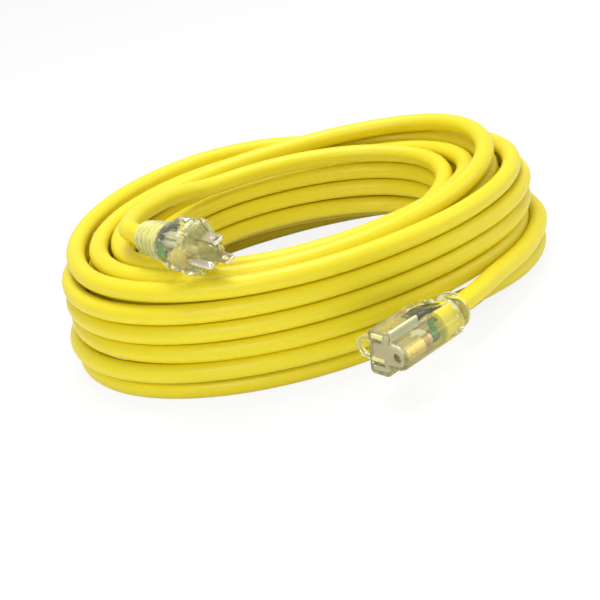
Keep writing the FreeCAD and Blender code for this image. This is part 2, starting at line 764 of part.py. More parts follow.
hot_contact = contact("socket_hot_contact", "1")
neutral_contact = contact("socket_neutral_contact", "-1")

# Ground sleeve: a thin tube with a slit along its top, closed behind by its tail
sleeve_body = body_at("socket_ground_contact", socket_frame)
sleeve_sketch = sketch_on(sleeve_body, "sleeve_profile", "XY_Plane", "-Sizes.ground_below")
sleeve_bore = "Sizes.ground_pin_diameter / 2"
sleeve_skin = f"({sleeve_bore} + Sizes.sleeve_wall)"
sleeve_rear = f"{contact_front} - Sizes.sleeve_length"
outline(sleeve_sketch, [
    (sleeve_rear, "0"), (f"{sleeve_rear} + Sizes.sleeve_wall", "0"),
    (f"{sleeve_rear} + Sizes.sleeve_wall", sleeve_bore), (contact_front, sleeve_bore),
    (contact_front, sleeve_skin), (sleeve_rear, sleeve_skin)])
grow(sleeve_body, "Revolution", "sleeve_turned", sleeve_sketch)
doc.recompute()
whole_sleeve = sleeve_body.Shape.Volume
slit_sketch = sketch_on(sleeve_body, "sleeve_slit", "XY_Plane", "-Sizes.ground_below")
outline(slit_sketch, [
    (f"{sleeve_rear} + 2 * Sizes.sleeve_wall", "-Sizes.sleeve_slit / 2"),
    (f"{contact_front} + Sizes.sleeve_wall", "-Sizes.sleeve_slit / 2"),
    (f"{contact_front} + Sizes.sleeve_wall", "Sizes.sleeve_slit / 2"),
    (f"{sleeve_rear} + 2 * Sizes.sleeve_wall", "Sizes.sleeve_slit / 2")])
slit = grow(sleeve_body, "Pocket", "sleeve_slit_cut", slit_sketch, Length="Sizes.ground_pin_diameter")
slit.Reversed = True
doc.recompute()
if sleeve_body.Shape.Volume > 0.999 * whole_sleeve:
    raise RuntimeError("socket_ground_contact: the slit cut nothing")
ground_sleeve = keep("socket_ground_contact", sleeve_body)

# Inner block behind the face, with a slot or a hole and a room for each contact
core_rear = f"{socket_face} - Sizes.core_setback - Sizes.socket_core_length"
core_body = core_shape("socket_core_block", socket_frame, core_rear, "Sizes.socket_core_length")


def contact_rooms(name, side, slot_length):
    """The room of a flat contact, the slot in front of it and the way of its tail behind it."""
    centre = f"{side} * Sizes.blade_spacing / 2"
    half = "(Sizes.contact_gap / 2 + Sizes.contact_leaf + Sizes.contact_room)"
    tall = "(Sizes.blade_width / 2 + Sizes.contact_room)"
    room = block(
        name + "_room", socket_frame,
        f"{contact_front} - Sizes.contact_length", "Sizes.contact_length + Sizes.contact_room",
        (f"{centre} - {half}", f"Sizes.blade_above - {tall}"),
        (f"{centre} + {half}", f"Sizes.blade_above + {tall}"))
    slot = block(
        name + "_slot", socket_frame, contact_front, "Sizes.contact_setback + 1",
        (f"{centre} - Sizes.slot_width / 2", f"Sizes.blade_above - {slot_length} / 2"),
        (f"{centre} + Sizes.slot_width / 2", f"Sizes.blade_above + {slot_length} / 2"))
    tail = block(
        name + "_tail_room", socket_frame, f"{core_rear} - 1", f"{contact_front} - Sizes.contact_length"
        f" - ({core_rear}) + 2",
        (f"{centre} - Sizes.contact_leaf / 2", "Sizes.blade_above - Sizes.blade_width / 2"),
        (f"{centre} + Sizes.contact_leaf / 2", "Sizes.blade_above + Sizes.blade_width / 2"))
    return [room, slot, tail]


hot_rooms = contact_rooms("hot", "1", "Sizes.hot_slot_length")
neutral_rooms = contact_rooms("neutral", "-1", "Sizes.neutral_slot_length")
ground_hole = rod(
    "ground_hole", socket_frame, f"{contact_front} - 1", "Sizes.contact_setback + 2",
    "Sizes.ground_hole_diameter / 2", "0", "-Sizes.ground_below")
ground_room = rod(
    "ground_room", socket_frame, f"{contact_front} - Sizes.sleeve_length", "Sizes.sleeve_length",
    "Sizes.ground_pin_diameter / 2 + Sizes.sleeve_wall", "0", "-Sizes.ground_below")

# Wires, their bared copper ends, lamp, leads, resistor and jacket end inside the receptacle
socket_core_rear = socket_length - size("core_setback") - size("socket_core_length")
socket_wires = []
socket_copper = []
for pole, (across, above) in contact_expressions.items():
    line = wire_line(pole, SOCKET_HOT, socket_core_rear)
    socket_wires.append(wire_piece(f"socket_{pole}_wire", socket_frame, line, size("wire_diameter")))
    reach = "Sizes.copper_bare"
    if pole == "ground":
        reach = f"{contact_front} - Sizes.sleeve_length - ({core_rear}) + Sizes.copper_bare"
    socket_copper.append(rod(
        f"socket_{pole}_copper", socket_frame, f"{core_rear} - Sizes.copper_bare", reach,
        "Sizes.copper_diameter / 2", across, above))
socket_wire_ends = group("socket_wire_ends", socket_copper)
socket_core = keep("socket_core", cut(
    "socket_core", core_body, hot_rooms + neutral_rooms + [ground_hole, ground_room, socket_copper[2]]))
socket_jacket_end = keep("socket_jacket_end", rod(
    "socket_jacket_end", socket_frame, "0", "Sizes.jacket_inside", "Sizes.cord_diameter / 2"))
lamp = keep("socket_lamp", rod(
    "socket_lamp", socket_frame, f"{core_rear} - Sizes.lamp_lead - Sizes.lamp_length", "Sizes.lamp_length",
    "Sizes.lamp_radius", "0", "Sizes.lamp_above"))
lamp_leads = []
lamp_front = socket_core_rear - size("lamp_lead")
for side in (-1, 1):
    near, spread = side * size("lead_spacing") / 2, side * size("lead_spread")
    lead_end = size("lead_end")
    line = [
        Vector(lamp_front, near, size("lamp_above")),
        Vector(lamp_front + lead_end, near, size("lamp_above")),
        Vector(socket_core_rear - lead_end, spread, size("lead_above")),
        Vector(socket_core_rear, spread, size("lead_above")),
    ]
    name = "lamp_lead_hot" if side == SOCKET_HOT else "lamp_lead_neutral"
    lamp_leads.append(feature(name, route(line, size("lead_diameter"), name), socket_frame))
lamp_leads.append(rod(
    "resistor_lead", socket_frame, f"{core_rear} - Sizes.lamp_lead", "Sizes.lamp_lead",
    "Sizes.lead_diameter / 2", "0", "Sizes.resistor_above"))
group("socket_lamp_leads", lamp_leads)
resistor = keep("socket_lamp_resistor", rod(
    "socket_lamp_resistor", socket_frame, f"{core_rear} - Sizes.lamp_lead - Sizes.resistor_length",
    "Sizes.resistor_length", "Sizes.resistor_diameter / 2", "0", "Sizes.resistor_above"))

# Moulded receptacle body: prism with rounded corners, ground lobe, taper, neck, collar and ear
shell = body_at("socket_mould", socket_frame)
prism_start = f"{socket_face} - Sizes.socket_prism"
half, low, top = "Sizes.socket_half_width", "-Sizes.socket_low", "Sizes.socket_top"
prism_sketch = sketch_on(shell, "prism_outline", "YZ_Plane", prism_start)
outline(prism_sketch, [(half, low), (half, top), (f"-{half}", top), (f"-{half}", low)])
prism = grow(shell, "Pad", "prism_pad", prism_sketch, Length="Sizes.socket_prism")
doc.recompute()
round_edges(shell, "prism_corners", prism, edges_along_x(prism.Shape), "Sizes.socket_corner")
lobe = "Sizes.socket_lobe_radius"
lobe_sketch = sketch_on(shell, "lobe_outline", "YZ_Plane", prism_start)
circle(lobe_sketch, "0", "-Sizes.ground_below", lobe)
grow(shell, "Pad", "lobe_pad", lobe_sketch, Length="Sizes.socket_prism")
web = sketch_on(shell, "lobe_web", "YZ_Plane", prism_start)
outline(web, [
    (lobe, "-Sizes.ground_below"), (lobe, "0"), (f"-{lobe}", "0"), (f"-{lobe}", "-Sizes.ground_below")])
grow(shell, "Pad", "lobe_web_pad", web, Length="Sizes.socket_prism")
taper_back = sketch_on(shell, "taper_back", "YZ_Plane", f"{prism_start} - Sizes.socket_taper")
rear_corners = []
for k in range(8):
    angle = 360 * (k - 0.5) / 8
    rear_corners.append((
        f"Sizes.socket_rear_half * cos({angle} deg)", f"Sizes.socket_rear_half * sin({angle} deg)"))
outline(taper_back, rear_corners)
taper_front = sketch_on(shell, "taper_front", "YZ_Plane", prism_start)
inset = "Sizes.socket_corner"
outline(taper_front, [
    (half, f"{low} + {inset}"), (half, f"{top} - {inset}"), (f"{half} - {inset}", top),
    (f"-{half} + {inset}", top), (f"-{half}", f"{top} - {inset}"), (f"-{half}", f"{low} + {inset}"),
    (f"-{lobe} / 2", f"-Sizes.ground_below - {lobe}"), (f"{lobe} / 2", f"-Sizes.ground_below - {lobe}")])
taper = shell.newObject("PartDesign::AdditiveLoft", "taper_loft")
taper.Profile = taper_back
taper.Sections = [taper_front]
taper.Ruled = True
shell.Tip = taper
collar_sketch = sketch_on(shell, "collar_profile", "XY_Plane")
edge, collar_end = "Sizes.collar_edge", "Sizes.collar_length"
neck_end = f"{prism_start} - Sizes.socket_taper"
outline(collar_sketch, [
    ("0", "0"), (neck_end, "0"), (neck_end, "Sizes.neck_radius"), (collar_end, "Sizes.neck_radius"),
    (collar_end, f"Sizes.collar_radius - {edge}"), (f"{collar_end} - {edge}", "Sizes.collar_radius"),
    (edge, "Sizes.collar_radius"), ("0", f"Sizes.collar_radius - {edge}")])
grow(shell, "Revolution", "collar_turned", collar_sketch)
ear = sketch_on(shell, "ear_outline", "YZ_Plane", f"{socket_face} - Sizes.ear_setback - Sizes.ear_thickness")
ear_half, ear_top, band = "Sizes.ear_half_width", f"({top} + Sizes.ear_reach)", "Sizes.ear_band"
bevel = "Sizes.ear_half_width / 2"
outline(ear, [
    (ear_half, f"{top} - {inset}"), (ear_half, f"{ear_top} - {bevel}"), (f"{ear_half} - {bevel}", ear_top),
    (f"-{ear_half} + {bevel}", ear_top), (f"-{ear_half}", f"{ear_top} - {bevel}"),
    (f"-{ear_half}", f"{top} - {inset}")])
outline(ear, [
    (f"{ear_half} - {band}", f"{top} + {band} / 2"),
    (f"{ear_half} - {band}", f"{ear_top} - {bevel} - {band} / 2"),
    (f"{ear_half} - {bevel} - {band} / 2", f"{ear_top} - {band}"),
    (f"-{ear_half} + {bevel} + {band} / 2", f"{ear_top} - {band}"),
    (f"-{ear_half} + {band}", f"{ear_top} - {bevel} - {band} / 2"),
    (f"-{ear_half} + {band}", f"{top} + {band} / 2")])
grow(shell, "Pad", "ear_pad", ear, Length="Sizes.ear_thickness")
doc.recompute()
keep("socket_body", cut("socket_body", shell, [
    core_body, hot_rooms[1], neutral_rooms[1], ground_hole, socket_jacket_end, lamp, resistor]
    + socket_wires + socket_copper[:2] + lamp_leads))

doc.recompute()
for item in doc.Objects:
    if "Invalid" in item.State or "Error" in item.State:
        raise RuntimeError(f"{item.Name}: {item.State}")
os.makedirs("parts", exist_ok=True)
for name, item in pieces.items():
    if item.Shape.isNull() or not item.Shape.isValid():
        raise RuntimeError(name + ": bad shape")
for name, item in pieces.items():
    item.Shape.exportStep(f"parts/{name}.step")
    print(name, len(item.Shape.Solids), round(item.Shape.Volume, 1))
whole = FreeCAD.BoundBox()
for item in pieces.values():
    whole.add(item.Shape.BoundBox)
print("whole", [round(value, 2) for value in (
    whole.XMin, whole.XMax, whole.YMin, whole.YMax, whole.ZMin, whole.ZMax)])
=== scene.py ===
import math
import bmesh
import bpy
from mathutils import Euler, Matrix, Vector


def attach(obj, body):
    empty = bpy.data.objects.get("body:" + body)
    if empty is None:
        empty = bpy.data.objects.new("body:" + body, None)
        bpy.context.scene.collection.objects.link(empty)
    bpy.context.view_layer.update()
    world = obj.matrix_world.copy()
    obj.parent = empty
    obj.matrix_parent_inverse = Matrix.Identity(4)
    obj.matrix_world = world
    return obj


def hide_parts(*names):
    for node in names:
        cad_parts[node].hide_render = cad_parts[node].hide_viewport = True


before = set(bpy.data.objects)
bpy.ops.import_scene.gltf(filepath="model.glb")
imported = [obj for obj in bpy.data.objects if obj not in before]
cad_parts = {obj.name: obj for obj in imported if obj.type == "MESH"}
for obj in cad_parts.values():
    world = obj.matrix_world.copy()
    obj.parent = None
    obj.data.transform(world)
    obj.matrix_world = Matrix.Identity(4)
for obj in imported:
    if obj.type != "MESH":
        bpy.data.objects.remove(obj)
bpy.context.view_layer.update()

# Camera: about 0.75 m from the coil, from the front left and 25 degrees above it, and
# rolled by 12 degrees, so that the coil's long side falls to the left. It looks past a
# point over the middle of the oval, at the height of the top row.
MM = 0.001
COIL_MIDDLE = Vector((-10.7, 18.9, 0)) * MM
LOOK_HEIGHT, DISTANCE, SHIFT_RIGHT, SHIFT_DOWN = 62.5 * MM, 0.749, 0.0100, 0.0562
azimuth, elevation, roll = math.radians(-18.7), math.radians(25.0), math.radians(-11.8)
back = Vector((math.sin(azimuth) * math.cos(elevation),
               -math.cos(azimuth) * math.cos(elevation), math.sin(elevation)))
level = Vector((math.cos(azimuth), math.sin(azimuth), 0))
upward = back.cross(level)
right = level * math.cos(roll) + upward * math.sin(roll)
up = upward * math.cos(roll) - level * math.sin(roll)
camera = bpy.data.objects.new("camera", bpy.data.cameras.new("camera"))
camera.data.lens = 76.3
camera.data.sensor_width = 36
looked_at = COIL_MIDDLE + Vector((0, 0, LOOK_HEIGHT))
place = looked_at + back * DISTANCE + right * SHIFT_RIGHT - up * SHIFT_DOWN
camera.matrix_world = Matrix.Translation(place) @ Matrix((right, up, back)).transposed().to_4x4()
bpy.context.collection.objects.link(camera)
bpy.context.scene.camera = camera
bpy.context.scene.view_settings.view_transform = "Standard"

# Floor, backdrop and studio light: a white sweep under one wide overhead softbox, a weaker
# one from the front left and one from the right. The camera sees the sweep and the room
# around it as nearly white, and the floor keeps the coil's soft shadow.
FLOOR_HALF = 3.0
SWEEP_SEEN, ROOM_LIGHT, ROOM_SEEN = 0.88, 0.36, 1.0


class Shade:
    """A value in a material. An expression on it adds the Math nodes that work it out."""

    def __init__(self, tree, socket=None):
        self.tree = tree
        self.socket = socket

    def node(self, kind, settings, inputs, output=0):
        """A node of any kind: its settings first, then the values or links of its sockets."""
        made = self.tree.nodes.new("ShaderNode" + kind)
        for key, value in settings.items():
            if key == "stops":
                ramp = made.color_ramp
                while len(ramp.elements) < len(value):
                    ramp.elements.new(1.0)
                for element, (position, colour) in zip(ramp.elements, value):
                    element.position = position
                    element.color = colour
            else:
                setattr(made, key, value)
        for key, value in inputs.items():
            if isinstance(value, Shade):
                self.tree.links.new(value.socket, made.inputs[key])
            else:
                made.inputs[key].default_value = value
        return Shade(self.tree, made.outputs[output])

    def math(self, operation, first, second):
        return self.node("Math", {"operation": operation}, {0: first, 1: second})

    def __add__(self, other):
        return self.math("ADD", self, other)

    def __radd__(self, other):
        return self.math("ADD", other, self)

    def __sub__(self, other):
        return self.math("SUBTRACT", self, other)

    def __rsub__(self, other):
        return self.math("SUBTRACT", other, self)

    def __mul__(self, other):
        return self.math("MULTIPLY", self, other)

    def __rmul__(self, other):
        return self.math("MULTIPLY", other, self)


def new_material(name):
    """An empty material and the start of its expressions."""
    made = bpy.data.materials.new(name)
    made.use_nodes = True
    made.node_tree.nodes.clear()
    return made, Shade(made.node_tree)


def finish(shade, surface, kind="Material"):
    output = shade.tree.nodes.new("ShaderNodeOutput" + kind)
    shade.tree.links.new(surface.socket, output.inputs["Surface"])


def seen_directly(shade):
    """1 for what the camera sees itself or through clear plastic, a half for a gloss, else 0."""
    camera_ray, glossy_ray, clear_ray = [
        shade.node("LightPath", {}, {}, f"Is {kind} Ray")
        for kind in ("Camera", "Glossy", "Transmission")]
    return shade.node("Math", {"operation": "ADD", "use_clamp": True},
                      {0: camera_ray + glossy_ray * 0.5, 1: clear_ray})


sweep_material, shade = new_material("sweep")
paper = shade.node("BsdfDiffuse", {}, {"Color": (0.92, 0.92, 0.92, 1)})
white = shade.node("Emission", {}, {"Color": (1, 1, 1, 1), "Strength": 1.0})
finish(shade, shade.node("MixShader", {}, {
    0: seen_directly(shade) * SWEEP_SEEN, 1: paper, 2: white}))
floor_corners = [(x * FLOOR_HALF, y * FLOOR_HALF, 0)
                 for x, y in ((-1, -1), (1, -1), (1, 1), (-1, 1))]
floor_mesh = bpy.data.meshes.new("floor")
floor_mesh.from_pydata(floor_corners, [], [(0, 1, 2, 3)])
floor_mesh.materials.append(sweep_material)
floor = bpy.data.objects.new("floor", floor_mesh)
bpy.context.collection.objects.link(floor)

world = bpy.data.worlds.new("studio")
world.use_nodes = True
bpy.context.scene.world = world
world.node_tree.nodes.clear()
shade = Shade(world.node_tree)
room = shade.node("Background", {}, {"Color": (1, 1, 1, 1), "Strength": ROOM_LIGHT})
seen_room = shade.node("Background", {}, {"Color": (1, 1, 1, 1), "Strength": ROOM_SEEN})
surroundings = shade.node("MixShader", {}, {0: seen_directly(shade), 1: room, 2: seen_room})
finish(shade, surroundings, "World")


def softbox(name, place, power, width):
    """A square area light that faces the coil."""
    light = bpy.data.lights.new(name, "AREA")
    light.energy = power
    light.size = width
    lamp = bpy.data.objects.new(name, light)
    lamp.location = place
    lamp.rotation_euler = (COIL_MIDDLE - Vector(place)).to_track_quat("-Z", "Y").to_euler()
    bpy.context.collection.objects.link(lamp)


softbox("overhead", place=(0.1, 0.25, 1.3), power=14, width=0.7)
softbox("front_left", place=(-0.9, -1.0, 0.9), power=9.5, width=0.7)
softbox("right", place=(1.2, -0.4, 0.7), power=4, width=0.7)

# Cord: three-wire cord in a yellow vinyl jacket, 11 mm thick, in one length from the
# receptacle to the plug. It runs round the outer wall, then winds four walls of turns,
# each inside the last, and climbs over the inner turns to the plug.
CORD = 11.0
ROW, TOP_ROW = 11.5, 5
WALL_SIDE, WALL_END, INNER_WALL = 12.0, 13.0, 3
FRONT, BACK, LEFT, RIGHT = 104.0, 104.0, 124.7, 140.5
# How far the ends of the outer wall's rows stand out, from the top row down
LEFT_FANS = [0.0, 6.7, 7.3, 6.8, 11.1, 8.4]
RIGHT_FANS = [2.8, 8.7, 7.2, 4.2, 12.4]
# A station of the cord is (quarter turn, wall, height, rise). A wall below 0 lies outside the
# outer one, and the rise is how fast the height grows there, over a quarter turn
LEAD_OUT, LEAD_LOW, LEAD_RISE = 0.73, 13.5, 12.0
ARRIVAL_OUT, ARRIVAL_HEIGHT, ARRIVAL_RISE = 1.15, 58.0, 6.0
FLOOR_OUT, FLOOR_HEIGHT, FLOOR_RISE = 0.2, -5.5, -7.0
LAYER_DROP = 2.0
CROSSING_WALL, CROSSING_HEIGHT, CROSSING_RISE = 1.1, 6.5, 3.0
CROSSING_END, CROSSING_FALL, CROSSING_DIP = 2.0, 4.0, 8.5
END_TUCK, END_LIFT = 5.5, 2.0
POINTS_PER_QUARTER = 6
stations = [(-1, -LEAD_OUT, LEAD_LOW, LEAD_RISE), (0, -ARRIVAL_OUT, ARRIVAL_HEIGHT, ARRIVAL_RISE)]


def climb_of(quarter, sign, left_climb, right_climb):
    """The rise in the quarter turn that starts here: the left and right halves differ."""
    return sign * (left_climb if quarter % 4 < 2 else right_climb) / 2


def wind_wall(wall, first, last, height, sign, left_climb, right_climb):
    """One wall of turns, with a station at every quarter turn, and the height it ends at."""
    for quarter in range(first, last + 1):
        before = climb_of(quarter - 1, sign, left_climb, right_climb)
        after = climb_of(quarter, sign, left_climb, right_climb)
        stations.append((quarter, wall, height, (before + after) / 2))
        height += after
    return height - after


height = wind_wall(0, 1, 21, TOP_ROW * ROW, -1, 0, ROW)
# The outer wall's last turn comes down to the floor before the right end, so that the cord
# from the receptacle can lie on it. Its height is below the floor, which holds it there
stations[19:21] = [(18, 0, ROW, FLOOR_RISE), (19, -FLOOR_OUT, FLOOR_HEIGHT, 0.0)]
stations += [(22, 0.5, height, 0.0), (23, 1.0, height, 0.0)]
height = wind_wall(1, 24, 42, height + ROW, 1, LAYER_DROP, ROW - LAYER_DROP)
stations.append((43, CROSSING_WALL, height + CROSSING_HEIGHT, CROSSING_RISE))
stations.append((44, 2.0, height + CROSSING_END, -CROSSING_FALL))
height = wind_wall(2, 45, 58, height - LAYER_DROP / 2, -1, LAYER_DROP, ROW - LAYER_DROP)
stations.append((59, 2.5, height - CROSSING_DIP, 0.0))
last_climb = climb_of(71, 1, 0, ROW)
height = wind_wall(INNER_WALL, 60, 71, height, 1, 0, ROW) + last_climb
stations.append((72, INNER_WALL + END_TUCK / WALL_SIDE, height + END_LIFT, last_climb / 2))


def fan(values, row):
    """How far the end of a row stands out, between those of the two nearest rows."""
    row = min(max(row, 0.0), len(values) - 1.0)
    low = min(int(row), len(values) - 2)
    return values[low] + (values[low + 1] - values[low]) * (row - low)


def side_reach(quarter, wall, height):
    """How far from the middle the cord passes, on the side this quarter turn starts from."""
    share, row = 1 - max(wall, 0.0) / INNER_WALL, TOP_ROW - height / ROW
    reach = [BACK, LEFT + fan(LEFT_FANS, row) * share,
             FRONT, RIGHT + fan(RIGHT_FANS, row - 0.5) * share][quarter % 4]
    return reach - (WALL_SIDE, WALL_END)[quarter % 2] * wall


turn_points = []
for (quarter, wall, low, rise), (_, next_wall, high, next_rise) in zip(stations, stations[1:]):
    here, there = side_reach(quarter, wall, low), side_reach(quarter + 1, next_wall, high)
    for step in range(POINTS_PER_QUARTER):
        part = step / POINTS_PER_QUARTER
        angle = (quarter % 4 + 1 + part) * math.pi / 2
        x_reach, y_reach = (there, here) if quarter % 2 == 0 else (here, there)
        along = (2 * part ** 3 - 3 * part ** 2 + 1) * low + (3 * part ** 2 - 2 * part ** 3) * high
        along += (part ** 3 - 2 * part ** 2 + part) * rise + (part ** 3 - part ** 2) * next_rise
        middle = max(along, 0.0) + CORD / 2
        turn_points.append(Vector((x_reach * math.cos(angle), y_reach * math.sin(angle), middle)))
quarter, wall, height, _ = stations[-1]
turn_points.append(Vector((0, side_reach(quarter, wall, height), height + CORD / 2)))
# The cord cuts inside its points, so each point of a turn stands a little further out
coil_points = [turn_points[0]]
for before, here, after in zip(turn_points, turn_points[1:], turn_points[2:]):
    coil_points.append(here - (before - here * 2 + after) / 8)
coil_points.append(turn_points[-1])

# The free ends at the receptacle and at the plug, in millimetres from the coil's middle
SOCKET_ROUTE = [(41.0, -122.0, 23.9), (58.5, -113.5, 24.0), (81.0, -99.4, 23.6),
                (107.5, -82.9, 21.2), (129.0, -63.5, 20.4), (146.0, -41.5, 20.0),
                (153.5, -18.5, 19.0)]
PLUG_ROUTE = [(-28.0, 59.5, 65.5), (-45.0, 49.5, 71.0), (-60.0, 36.5, 75.5), (-74.0, 22.5, 78.5),
              (-86.5, 8.0, 80.8), (-95.0, -8.0, 82.3), (-96.0, -17.5, 82.9), (-91.4, -32.1, 83.2)]
route = [COIL_MIDDLE + Vector(point) * MM for point in SOCKET_ROUTE + coil_points + PLUG_ROUTE]

jacket, shade = new_material("yellow_jacket")
place = shade.node("TexCoord", {}, {}, "Object")
broad = shade.node("TexNoise", {}, {"Vector": place, "Scale": 14.0, "Detail": 2.0})
grain = shade.node("TexNoise", {}, {"Vector": place, "Scale": 900.0, "Detail": 3.0})
scuffs = shade.node("TexNoise", {}, {
    "Vector": place, "Scale": 120.0, "Detail": 5.0, "Roughness": 0.7})
scuffed = shade.node("ValToRGB", {"stops": [(0.62, (0, 0, 0, 1)), (0.8, (1, 1, 1, 1))]},
                     {"Fac": scuffs})
colour = shade.node("Mix", {"data_type": "RGBA"}, {
    "Factor": broad, 6: (0.78, 0.645, 0.012, 1), 7: (0.85, 0.72, 0.020, 1)}, 2)
colour = shade.node("Mix", {"data_type": "RGBA"}, {
    "Factor": scuffed * 0.2, 6: colour, 7: (0.93, 0.77, 0.1, 1)}, 2)
bump = shade.node("Bump", {}, {"Strength": 0.12, "Distance": 0.0003, "Height": grain})
finish(shade, shade.node("BsdfPrincipled", {}, {
    "Base Color": colour, "Roughness": grain * 0.08 + 0.40, "Normal": bump,
    "Specular IOR Level": 0.35, "Coat Weight": 0.1, "Coat Roughness": 0.4}))


def round_curve(name, points, radius, roundness):
    """A round curve on one smooth spline, with the points as its control points."""
    curve = bpy.data.curves.new(name, "CURVE")
    curve.dimensions = "3D"
    curve.bevel_depth = radius
    curve.bevel_resolution = roundness
    spline = curve.splines.new("NURBS")
    spline.points.add(len(points) - 1)
    for point, where in zip(spline.points, points):
        point.co = (*where, 1)
    spline.order_u = 3
    spline.use_endpoint_u = True
    spline.use_smooth = True
    return curve


curve = round_curve("cord", route, CORD / 2 * MM, 7)
curve.resolution_u = 4
curve.materials.append(jacket)
cord = bpy.data.objects.new("cord", curve)
bpy.context.collection.objects.link(cord)
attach(cord, "root")
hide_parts("cord_coil", "cord_tail_socket", "cord_tail_plug")

# Plug moulding: clear vinyl moulded over the bridge, the wires and the end of the cord. It
# has a rounded shield of a flange at its face, a finger groove behind it, and a strain
# relief of five soft ribs that thins towards the cord.
RIBS, RIB_SPACING, RIB_START, RIB_STEPS = 5, 4.9, 1.5, 50
RELIEF_RADIUS, RELIEF_TAPER, RIB_HEIGHT = 7.6, 0.1, 1.5
CORNER_STEPS = 8
SHADOW_CLEARNESS = 0.8


def connector(place, yaw, pitch, roll):
    """A connector's frame, in millimetres: x out of its face, z from the ground contact up."""
    turn = Euler([math.radians(angle) for angle in (roll, pitch, yaw)]).to_matrix().to_4x4()
    return Matrix.Translation(COIL_MIDDLE + Vector(place) * MM) @ turn @ Matrix.Scale(MM, 4)


def softened(corners, spacing=1.2):
    """A closed outline with a rounded corner at each (across, above, radius)."""
    bends = []
    for k, (across, above, radius) in enumerate(corners):
        corner = Vector((across, above))
        back = (Vector(corners[k - 1][:2]) - corner).normalized()
        onward = (Vector(corners[(k + 1) % len(corners)][:2]) - corner).normalized()
        half = back.angle(onward) / 2
        centre = corner + (back + onward).normalized() * (radius / math.sin(half))
        run = radius / math.tan(half)
        first, last = corner + back * run - centre, corner + onward * run - centre
        start = math.atan2(first.y, first.x)
        turn = math.remainder(math.atan2(last.y, last.x) - start, 2 * math.pi)
        angles = [start + turn * step / CORNER_STEPS for step in range(CORNER_STEPS + 1)]
        bends.append([centre + Vector((math.cos(a), math.sin(a))) * radius for a in angles])
    outline = []
    for bend, following in zip(bends, bends[1:] + bends[:1]):
        outline += bend
        straight = following[0] - bend[-1]
        count = int(straight.length / spacing)
        outline += [bend[-1] + straight * (k / (count + 1)) for k in range(1, count + 1)]
    return outline


def ring(outline, x, inset=0.0, roundness=0.0, radius=0.0):
    """The outline at one place along a connector, drawn in and turned towards a circle."""
    points = []
    for point in outline:
        drawn = (point * (1 - inset / point.length)).lerp(point.normalized() * radius, roundness)
        points.append(Vector((x, drawn.x, drawn.y)))
    return points


def circles(outline, profile):
    """Round rings with the outline's count of points, from an (x, radius) profile."""
    return [ring(outline, x, 0, 1, radius) for x, radius in profile]


def skin(rings):
    """A closed mesh over rings of points, with a flat face at each end."""
    shell = bmesh.new()
    loops = [[shell.verts.new(point) for point in points] for points in rings]
    for near, far in zip(loops, loops[1:]):
        for k in range(len(near)):
            shell.faces.new((near[k - 1], near[k], far[k], far[k - 1]))
    shell.faces.new(loops[0])
    shell.faces.new(loops[-1])
    bmesh.ops.recalc_face_normals(shell, faces=shell.faces)
    mesh = bpy.data.meshes.new("skin")
    shell.to_mesh(mesh)
    shell.free()
    return mesh


def fit(name, mesh, frame_of_piece, material, crease=38.0):
    """A finished piece, set in place, smooth but for the edges sharper than the crease angle."""
    mesh.transform(frame_of_piece)
    mesh.shade_smooth()
    mesh.set_sharp_from_angle(angle=math.radians(crease))
    mesh.materials.clear()
    mesh.materials.append(material)
    item = bpy.data.objects.new(name, mesh)
    bpy.context.collection.objects.link(item)
    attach(item, "root")
    return item


plug = connector(PLUG_ROUTE[-1], -73.4, -3.1, -72.5)
socket = connector(SOCKET_ROUTE[0], -155.0, -3.8, 86.8)


def vinyl(name, clearness, tint, painted_groove_shade=None):
    """Clear vinyl that lets light fall through onto what it holds.

    With a colour of painted shade it is darker between the ribs of the plug's strain relief, as
    shade painted into the grooves.
    """
    made, shade = new_material(name)
    place = shade.node("TexCoord", {}, {}, "Object")
    colour = (*tint, 1)
    if painted_groove_shade:
        # Painted shade: the colour darkens from the crest of each rib into the groove between ribs.
        along = plug.to_3x3() @ Vector((1, 0, 0)) / MM
        start = along.dot(plug @ Vector((RIB_START, 0, 0)))
        distance = shade.node("VectorMath", {"operation": "DOT_PRODUCT"},
                              {0: place, 1: along}, 1) - start
        wave = shade.math("SINE", distance * (math.pi / RIB_SPACING / MM), 0.0)
        rib = shade.math("POWER", shade.math("ABSOLUTE", wave, 0.0), 0.6)
        colour = shade.node("Mix", {"data_type": "RGBA"},
                            {"Factor": rib, 6: (*painted_groove_shade, 1), 7: colour}, 2)
    flow = shade.node("TexNoise", {}, {"Vector": place, "Scale": 170.0, "Detail": 2.0})
    haze = shade.node("TexNoise", {}, {"Vector": place, "Scale": 700.0, "Detail": 3.0})
    bump = shade.node("Bump", {}, {"Strength": 0.25, "Distance": 0.0006, "Height": flow})
    moulded = shade.node("BsdfPrincipled", {}, {
        "Base Color": colour, "Roughness": haze * 0.06 + 0.03, "Normal": bump,
        "IOR": 1.40, "Transmission Weight": clearness})
    through = shade.node("BsdfTransparent", {}, {"Color": (0.90, 0.90, 0.70, 1)})
    shadow_ray = shade.node("LightPath", {}, {}, "Is Shadow Ray")
    finish(shade, shade.node("MixShader", {}, {
        0: shadow_ray * SHADOW_CLEARNESS, 1: moulded, 2: through}))
    return made


clear_vinyl = vinyl("clear_vinyl", 0.92, (0.83, 0.84, 0.58))
# The strain relief's vinyl has painted shade, a dark green-grey, in the grooves between its ribs.
hazy_vinyl = vinyl("hazy_vinyl", 0.68, (0.80, 0.84, 0.62), painted_groove_shade=(0.30, 0.38, 0.30))

